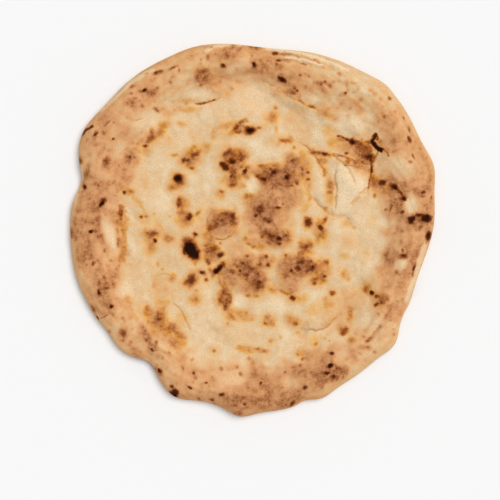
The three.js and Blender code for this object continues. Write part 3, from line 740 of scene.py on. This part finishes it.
def is_patch(spot):
    """Whether a spot is a broad, lightly browned patch, which goes under the rest."""
    return narrow(spot) >= PATCH_WIDTH and spot.bake <= PATCH_BAKE


RIM_PATCHES = [spot for spot in RIM_SCORCHES if is_patch(spot)]
SOFT_STAINS = [spot for spot in FLOOR_STAINS if spot.bake < CHARRED]
SCORCHES = [spot for spot in RIM_SCORCHES if not is_patch(spot)]
SCORCHES += [spot for spot in FLOOR_STAINS if spot.bake >= CHARRED]
BUBBLES = [spot for spot in FLOOR_STAINS + RIM_SCORCHES if spot.bake >= CHARRED]


def spot_shares(surface, spots, softest=STAIN_EDGE, crisp_from=CHARRED):
    """For each spot: the points near it, how much of it each has and how far outside each is."""
    for spot in spots:
        picked, share = surface.near(spot)
        small = narrow(spot)
        outside = (share - 1) * small / 2
        if spot.bake < crisp_from:
            soft = min(max(0.5 * small, 1.2), softest)
            share = 1 - ease(-0.8 * soft, 1.2 * soft, outside)
        else:
            soft = min(max(0.38 * small, 1), 1.8)
            share = 1 - ease(-soft, soft, outside)
        yield spot, picked, share, outside


def merge(field, picked, level):
    """Browns a field further, so that spots close together run into one another."""
    field[picked] = (field[picked] ** MERGING + np.maximum(level, 0) ** MERGING) ** (1 / MERGING)


def raise_to(field, picked, level):
    """Raises a field to a level where it is lower."""
    field[picked] = np.maximum(field[picked], level)


def raise_spots(field, surface, spots, strength=None):
    """Browns a field by each spot's bake, with a soft edge and a strength at each point."""
    for spot, picked, share, _ in spot_shares(surface, spots):
        level = spot.bake * share
        merge(field, picked, level if strength is None else level * strength[picked])


def strewn_spot(draw, bearing, reach, length, narrowest, bakes):
    """A spot of chance width, turn and bake, at a bearing in radians and a reach."""
    width = length * draw.uniform(narrowest, 1)
    turn = draw.uniform(0, 180)
    x = MIDDLE[0] + reach * math.cos(bearing)
    y = MIDDLE[1] + reach * math.sin(bearing)
    return Spot(x, y, length, width, draw.uniform(*bakes), turn)


def rim_specks():
    """Faint brown specks strewn over the rim, always the same."""
    draw = random.Random(5)
    specks = []
    for _ in range(SPECKS):
        bearing = draw.uniform(0, 360)
        reach = draw.uniform(by_bearing(RIM_INNER_EDGE, bearing), EDGE_REACH - 4)
        length = draw.uniform(*SPECK_SIZES)
        specks.append(strewn_spot(draw, math.radians(bearing), reach, length, 0.5, SPECK_BAKES))
    return specks


def underside_bake(surface):
    """Browning of the flat underside: floury, with scorched rounds that are always the same."""
    draw = random.Random(11)
    field = 0.16 + 0.1 * drift(surface.points, 16, 8)
    rounds = []
    for _ in range(ROUNDS):
        reach = ROUNDS_REACH * math.sqrt(draw.random())
        bearing = draw.uniform(0, 2 * math.pi)
        size = draw.uniform(*ROUND_SIZES)
        rounds.append(strewn_spot(draw, bearing, reach, size, 0.6, ROUND_BAKES))
    raise_spots(field, surface, rounds)
    return field


def plain_bake(surface, uneven):
    """Browning of the floor without its stains, and of the rim without its scorches."""
    points = surface.points
    mottle = 0.6 * drift(points, 13, 5) + 0.5 * drift(points, 5, 6) + 0.3 * drift(points, 2.8, 18)
    cloud = drift(points, 27, 12)
    streaks = 0.6 * drift(surface.round_rim(4, 14), 1, 20)
    streaks += 0.5 * drift(surface.round_rim(20, 7), 1, 21)
    # The rim's tone is painted paler from 32° to 60°, painted light against the shade of its inner
    # slope there.
    tone = by_bearing(RIM_TONES, surface.bearing) + 0.15 * mottle + 0.1 * cloud + 0.17 * streaks
    # The flank's tone is painted paler from 190° to 215°, painted light against the shade on that
    # side.
    flank_tone = by_bearing(FLANK_TONES, surface.bearing) + 0.08 * mottle
    tone += (flank_tone - tone) * surface.flank
    floor_tone = np.maximum(FLOOR_BAKE + 0.16 * cloud + 0.14 * mottle, 0)
    bake = np.maximum(floor_tone + (tone - floor_tone) * surface.rim, 0)
    raise_spots(bake, surface, RIM_PATCHES, 1 + uneven)
    raise_spots(bake, surface, rim_specks())
    return bake


def stain_haze(surface):
    """How much of the golden haze round the floor's patches and stains each point has."""
    haze = np.zeros(len(surface.points))
    for _, picked, _, outside in spot_shares(surface, DUSKY_PATCHES):
        raise_to(haze, picked, 1 - ease(0, HAZE_REACH, outside))
    for spot, picked, _, outside in spot_shares(surface, FLOOR_STAINS):
        raise_to(haze, picked, ease(0.2, 0.5, spot.bake) * (1 - ease(0, HAZE_REACH, outside)))
    return haze


def golden_share(surface):
    """How golden the browning is at each point: most in stains, least in dusky patches."""
    rim_gold = by_bearing(RIM_GOLD, surface.bearing)
    golden = FLOOR_GOLD + (rim_gold - FLOOR_GOLD) * surface.rim
    for spot, picked, _, outside in spot_shares(surface, FLOOR_STAINS):
        gilt = 1 - 0.7 * surface.rim[picked] * ease(0.45, 0.3, spot.bake)
        raise_to(golden, picked, gilt * (1 - ease(-1, 5, outside)))
    for _, picked, _, outside in spot_shares(surface, DUSKY_PATCHES):
        golden[picked] = np.minimum(golden[picked], ease(-6, 1, outside))
    for stroke in FLOOR_STROKES:
        picked, apart = surface.across_stroke(stroke)
        raise_to(golden, picked, 1 - ease(0.3, 1.2, apart))
    for crease in CREASES:
        if crease.golden:
            picked, apart, _ = surface.along_line(crease)
            raise_to(golden, picked, 1 - ease(0, 1.5 * crease.width, apart))
    patchy = 0.64 + 0.8 * drift(surface.points, 7, 22) + 0.3 * drift(surface.points, 3, 23)
    return golden * np.clip(patchy, 0, 1)


def flour_and_highlight_share(surface):
    """How floury the crust has stayed at each point, with the painted highlights on the rim's
    ridges and on a few shaded slopes.
    """
    flour_and_highlight = np.zeros(len(surface.points))
    for spot, picked, share, _ in spot_shares(surface, PALE_WINDOWS, WINDOW_EDGE, crisp_from=1):
        raise_to(flour_and_highlight, picked, spot.bake * share)
    # Painted highlights along the crests of the rim's ridges.
    for ridge in PAINTED_HIGHLIGHT_RIDGES:
        picked, apart, _ = surface.along_line(ridge)
        raise_to(flour_and_highlight, picked, ridge.bake * (1 - ease(0.2, 0.9, apart / ridge.width)))
    return flour_and_highlight * ease(0.1, 0.55, surface.up)


def bake_fields(surface):
    """How far the dough is baked, painted shade in some hollows and folds included; how golden
    that is; and how pale with floury crust and painted highlights, at each point.
    """
    uneven = 0.25 * drift(surface.points, 6, 13) + 0.25 * drift(surface.points, 3, 14)
    bake = plain_bake(surface, uneven)
    # A few dusky patches are painted shade in hollows.
    raise_spots(bake, surface, DUSKY_PATCHES, 1 + 0.7 * uneven)
    merge(bake, slice(None), HAZE * stain_haze(surface) * (1 + uneven))
    flour_and_highlight = flour_and_highlight_share(surface)
    bake *= 1 - flour_and_highlight
    raise_spots(bake, surface, SOFT_STAINS, 1.05 + uneven)
    for stroke in FLOOR_STROKES:
        picked, apart = surface.across_stroke(stroke)
        broken = 1 + 0.3 * surface.fine_sway[picked]
        merge(bake, picked, stroke.bake * broken * (1 - ease(0.2, 0.9, apart)))
    for spot, picked, _, outside in spot_shares(surface, SCORCHES):
        halo = ease(0.5, 0.9, spot.bake) * (1 - ease(-0.5, HALO_REACH, outside))
        merge(bake, picked, HALO * halo * (1 + 2 * uneven[picked]))
    raise_spots(bake, surface, SCORCHES)
    # Creases brown along their grooves; in the fold lines this is painted shade.
    for crease in CREASES:
        picked, apart, _ = surface.along_line(crease)
        broken = 0.75 + 0.6 * surface.middle_sway[picked]
        merge(bake, picked, crease.bake * broken * bell(apart, 0.5 * crease.width))
    under = underside_bake(surface)
    baked = under + (np.minimum(bake, 1) - under) * surface.upper
    flour_and_highlight *= 1 - ease(0.25, 0.5, bake)
    return baked, golden_share(surface) * surface.upper, flour_and_highlight * surface.upper


def fine_relief(surface, settings):
    """How far up the crust's fine relief moves each point, in millimetres."""
    points, rim = surface.points, surface.rim
    pillow = abs(drift(points, 24, 15)) + 0.35 * abs(drift(points, 12, 16)) - 0.35
    lift = settings.pillow_height / MM * pillow * (1 - 0.4 * rim)
    wrinkles = 0.6 - 2 * abs(drift(surface.round_rim(6, 18), 1, 9)) + 0.6 * drift(points, 9, 17)
    lift += settings.wrinkle_height / MM * wrinkles * rim
    lift += settings.pimple_height / MM * drift(points, 3.2, 10)
    blisters = np.zeros(len(lift))
    raise_spots(blisters, surface, DUSKY_PATCHES + RIM_PATCHES)
    lift += settings.blister_rise / MM * ease(0.05, 0.4, blisters)
    bubbles = np.zeros(len(lift))
    raise_spots(bubbles, surface, BUBBLES)
    lift += settings.scorch_rise / MM * bubbles
    ridges = [Band(ridge.width, 2 * ridge.bake, ridge.points) for ridge in PAINTED_HIGHLIGHT_RIDGES]
    for band in BANDS + ridges:
        picked, apart, _ = surface.along_line(band)
        lift[picked] += band.rise * bell(apart, 0.55 * band.width)
    for crease in CREASES:
        picked, apart, side = surface.along_line(crease)
        groove = crease.depth * bell(apart, 0.6 * crease.width)
        ledge = 0.5 * crease.ledge * side * np.exp(-apart / LEDGE_FADE) * ease(0, 0.8, apart)
        lift[picked] += ledge - groove
    return lift * surface.upper


def plug(tree, socket, value):
    """Links a socket to another socket, or sets it to a plain value."""
    if isinstance(value, bpy.types.NodeSocket):
        tree.links.new(value, socket)
    else:
        socket.default_value = value


def sum_node(tree, operation, *values):
    """A Math node's result."""
    made = tree.nodes.new("ShaderNodeMath")
    made.operation = operation
    for socket, value in zip(made.inputs, values):
        plug(tree, socket, value)
    return made.outputs[0]


def rescale(tree, value, low, high, to_low, to_high):
    """A Map Range node's clamped result."""
    made = tree.nodes.new("ShaderNodeMapRange")
    for socket, number in zip(made.inputs, (value, low, high, to_low, to_high)):
        plug(tree, socket, number)
    return made.outputs[0]


def grain(tree, coordinates, size, detail=2.0):
    """Noise about a middle of 0.5, with features of a size in metres."""
    made = tree.nodes.new("ShaderNodeTexNoise")
    plug(tree, made.inputs["Vector"], coordinates)
    made.inputs["Scale"].default_value = 1 / size
    made.inputs["Detail"].default_value = detail
    return made.outputs[0]


def attribute(tree, name):
    """A value that the mesh carries at its points."""
    made = tree.nodes.new("ShaderNodeAttribute")
    made.attribute_name = name
    return made.outputs["Fac"]


def colour_ramp(tree, value, stops):
    """The browning colour for a bake value."""
    made = tree.nodes.new("ShaderNodeValToRGB")
    elements = made.color_ramp.elements
    while len(elements) < len(stops):
        elements.new(0.5)
    for element, (place, colour) in zip(elements, stops):
        element.position = place
        element.color = (*screen_colour(*colour), 1)
    plug(tree, made.inputs[0], value)
    return made.outputs[0]


def mix_colours(tree, share, first, second, blend="MIX"):
    """A Mix node's colour."""
    made = tree.nodes.new("ShaderNodeMix")
    made.data_type = "RGBA"
    made.blend_type = blend
    plug(tree, made.inputs[0], share)
    plug(tree, made.inputs[6], first)
    plug(tree, made.inputs[7], second)
    return made.outputs[2]


def baked_crust(settings):
    """The crust's finish: it browns with the bake at each point, broken up by grain."""
    material = bpy.data.materials.new("baked_crust")
    material.use_nodes = True
    tree = material.node_tree
    shader = tree.nodes["Principled BSDF"]
    place = tree.nodes.new("ShaderNodeTexCoord").outputs["Object"]
    coarse, fine, dust = (
        rescale(tree, grain(tree, place, size * MM, detail), 0.3, 0.7, -1.0, 1.0)
        for size, detail in GRAINS
    )
    bake, golden, flour_and_highlight = (attribute(tree, name) for name in ("bake", "golden", "flour_and_highlight"))

    # Grain breaks up the browning, most where it is half done, and freckles it.
    unripe = sum_node(tree, "MULTIPLY_ADD", bake, -0.85, 1.0)
    room = sum_node(tree, "MULTIPLY_ADD", sum_node(tree, "MULTIPLY", bake, unripe), 0.44, 0.02)
    ragged = sum_node(tree, "MULTIPLY", coarse, 0.34)
    ragged = sum_node(tree, "MULTIPLY_ADD", fine, 0.45, ragged)
    ragged = sum_node(tree, "MULTIPLY_ADD", dust, 0.45, ragged)
    level = sum_node(tree, "MULTIPLY_ADD", ragged, room, bake)
    freckles = tree.nodes.new("ShaderNodeTexVoronoi")
    plug(tree, freckles.inputs["Vector"], place)
    freckles.inputs["Scale"].default_value = 1 / (FRECKLE_SPACING * MM)
    dots = rescale(tree, freckles.outputs["Distance"], 0.1, 0.34, 1.0, 0.0)
    some = tree.nodes.new("ShaderNodeSeparateColor")
    plug(tree, some.inputs[0], freckles.outputs["Color"])
    dots = sum_node(tree, "MULTIPLY", dots, rescale(tree, some.outputs[0], 0.5, 0.9, 0.0, 1.0))
    dots = sum_node(tree, "MULTIPLY", dots, rescale(tree, bake, 0.4, 0.52, 0.0, 0.14))
    dots = sum_node(tree, "MULTIPLY", dots, rescale(tree, golden, 0.2, 0.8, 1.0, 0.0))
    level = sum_node(tree, "ADD", level, dots)
    crust = colour_ramp(tree, level, CRUST_STOPS)
    gold = colour_ramp(tree, level, GOLD_STOPS)
    colour = mix_colours(tree, golden, crust, gold)
    # The floury crust and the painted highlights are mixed in with one pale colour.
    floury = sum_node(tree, "MULTIPLY", flour_and_highlight, rescale(tree, coarse, -1.0, 1.0, 0.5, 1.0))
    colour = mix_colours(tree, floury, colour, (*settings.flour_and_highlight_colour, 1))
    dusty = rescale(tree, dust, -1.0, 1.0, 0.86, 1.13)
    shade = sum_node(tree, "MULTIPLY", dusty, rescale(tree, fine, -1.0, 1.0, 0.95, 1.045))
    colour = mix_colours(tree, 1.0, colour, shade, "MULTIPLY")
    plug(tree, shader.inputs["Base Color"], colour)

    # Brown crust has a little shine, flour and char have none.
    browned = rescale(tree, level, 0.15, 0.5, 0.88, 0.66)
    charred = rescale(tree, level, 0.7, 0.95, 0.0, 0.2)
    plug(tree, shader.inputs["Roughness"], sum_node(tree, "ADD", browned, charred))
    shader.inputs["Specular IOR Level"].default_value = SHINE

    bump = tree.nodes.new("ShaderNodeBump")
    bump.inputs["Strength"].default_value = BUMP_STRENGTH
    bump.inputs["Distance"].default_value = BUMP_DEPTH * MM
    height = sum_node(tree, "ADD", fine, sum_node(tree, "MULTIPLY", dust, 0.4))
    plug(tree, bump.inputs["Height"], height)
    plug(tree, shader.inputs["Normal"], bump.outputs[0])
    return material


def make_finer(bm, edges):
    """Splits edges in two and smooths what stands above the foot."""
    bmesh.ops.subdivide_edges(bm, edges=edges, cuts=1, use_grid_fill=True)
    for _ in range(SMOOTHINGS):
        free = [v for v in bm.verts if v.co.z > FOOT]
        bmesh.ops.smooth_vert(
            bm, verts=free, factor=0.5, use_axis_x=True, use_axis_y=True, use_axis_z=True
        )


def read_surface(bm):
    """The dough's surface as it stands."""
    bm.normal_update()
    bm.verts.index_update()
    points = np.array([v.co for v in bm.verts]) / MM
    return Surface(points, np.array([v.normal for v in bm.verts]))


def detailed_points(surface):
    """Which points lie at a crease, a stroke or a charred bubble, where the mesh is finest."""
    wanted = np.zeros(len(surface.points), dtype=bool)
    for line in CREASES + FLOOR_STROKES:
        picked, apart, _ = surface.along_line(line)
        wanted[picked[apart < 1.2 * line.width + 0.8]] = True
    for _, picked, _, outside in spot_shares(surface, BUBBLES):
        wanted[picked[outside < 1]] = True
    return wanted & (surface.up > 0.2)


def shaped_dough(settings):
    """A mesh from the CAD solid, made finer, smoothed and given the crust's fine relief."""
    bm = bmesh.new()
    bm.from_mesh(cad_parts[NODE].data)
    bmesh.ops.remove_doubles(bm, verts=bm.verts, dist=0.001 * MM)
    make_finer(bm, bm.edges)
    make_finer(bm, [edge for edge in bm.edges if max(v.co.z for v in edge.verts) > FOOT])
    wanted = detailed_points(read_surface(bm))
    make_finer(bm, [edge for edge in bm.edges if all(wanted[v.index] for v in edge.verts)])
    bmesh.ops.triangulate(bm, faces=bm.faces)
    surface = read_surface(bm)
    raised = surface.z + fine_relief(surface, settings)
    raised = np.maximum(raised, np.minimum(surface.z, THINNEST))
    top = CAD_BOX[1][2] / MM
    for vert, height in zip(bm.verts, np.minimum(raised, top)):
        vert.co.z = height * MM
    bm.normal_update()
    mesh = bpy.data.meshes.new("dough")
    bm.to_mesh(mesh)
    bm.free()
    for name, values in zip(("bake", "golden", "flour_and_highlight"), bake_fields(surface)):
        layer = mesh.attributes.new(name, "FLOAT", "POINT")
        layer.data.foreach_set("value", values.astype(np.float32))
    mesh.shade_smooth()
    return mesh


class BakeDough(bpy.types.Operator):
    """Make the baked dough from the CAD solid"""

    bl_idname = "pizza_base.bake_dough"
    bl_label = "Bake dough"

    def execute(self, context):
        settings = context.scene.pizza_dough
        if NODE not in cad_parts:
            raise RuntimeError("the packed model has no pizza base to dress")
        mesh = shaped_dough(settings)
        mesh.materials.append(baked_crust(settings))
        dough = bpy.data.objects.new("dough", mesh)
        context.scene.collection.objects.link(dough)
        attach(dough, "root")
        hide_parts(NODE)
        return {"FINISHED"}


class SetStage(bpy.types.Operator):
    """Lay a plain pale floor, hang the lights and set the camera straight above"""

    bl_idname = "pizza_base.set_stage"
    bl_label = "Set stage"

    def execute(self, context):
        settings = context.scene.pizza_stage
        self.lay_floor(context, settings)
        self.hang_lights(context, settings)
        self.place_camera(context, settings)
        return {"FINISHED"}

    def lay_floor(self, context, settings):
        bm = bmesh.new()
        bmesh.ops.create_grid(bm, x_segments=1, y_segments=1, size=FLOOR_HALF_WIDTH)
        mesh = bpy.data.meshes.new("floor")
        bm.to_mesh(mesh)
        bm.free()
        paint = bpy.data.materials.new("pale_floor")
        paint.use_nodes = True
        shader = paint.node_tree.nodes["Principled BSDF"]
        shader.inputs["Base Color"].default_value = (*settings.floor_colour, 1)
        shader.inputs["Roughness"].default_value = FLOOR_ROUGHNESS
        mesh.materials.append(paint)
        floor = bpy.data.objects.new("floor", mesh)
        context.scene.collection.objects.link(floor)

    def hang_lights(self, context, settings):
        key = bpy.data.lights.new("key", "SUN")
        key.energy = settings.key_strength
        key.angle = KEY_SPREAD
        lamp = bpy.data.objects.new("key", key)
        lamp.rotation_euler = (0, KEY_LEAN, KEY_TURN)
        context.scene.collection.objects.link(lamp)
        world = bpy.data.worlds.new("fill")
        world.use_nodes = True
        sky = world.node_tree.nodes["Background"]
        sky.inputs["Color"].default_value = (1, 1, 1, 1)
        sky.inputs["Strength"].default_value = settings.fill_strength
        context.scene.world = world
        context.scene.view_settings.view_transform = "Standard"

    def place_camera(self, context, settings):
        camera = bpy.data.cameras.new("camera")
        camera.angle = 2 * math.atan(settings.view_width / 2 / settings.camera_height)
        holder = bpy.data.objects.new("camera", camera)
        holder.location = (*settings.view_middle, WIDEST_HEIGHT + settings.camera_height)
        context.scene.collection.objects.link(holder)
        context.scene.camera = holder


class PizzaBasePanel(bpy.types.Panel):
    """The pizza base's settings and its two steps"""

    bl_idname = "VIEW3D_PT_pizza_base"
    bl_label = "Pizza Base"
    bl_space_type = "VIEW_3D"
    bl_region_type = "UI"
    bl_category = "Pizza Base"

    def draw(self, context):
        steps = ((BakeDough, context.scene.pizza_dough), (SetStage, context.scene.pizza_stage))
        for step, settings in steps:
            box = self.layout.box()
            for name in settings.bl_rna.properties.keys():
                if name not in {"rna_type", "name"}:
                    box.prop(settings, name)
            box.operator(step.bl_idname)


CLASSES = (DoughSettings, StageSettings, BakeDough, SetStage, PizzaBasePanel)


def register():
    for cls in CLASSES:
        bpy.utils.register_class(cls)
    bpy.types.Scene.pizza_dough = bpy.props.PointerProperty(type=DoughSettings)
    bpy.types.Scene.pizza_stage = bpy.props.PointerProperty(type=StageSettings)


def unregister():
    del bpy.types.Scene.pizza_stage
    del bpy.types.Scene.pizza_dough
    for cls in reversed(CLASSES):
        bpy.utils.unregister_class(cls)


def main():
    register()
    bpy.ops.pizza_base.bake_dough()
    bpy.ops.pizza_base.set_stage()


if __name__ == "__main__":
    main()
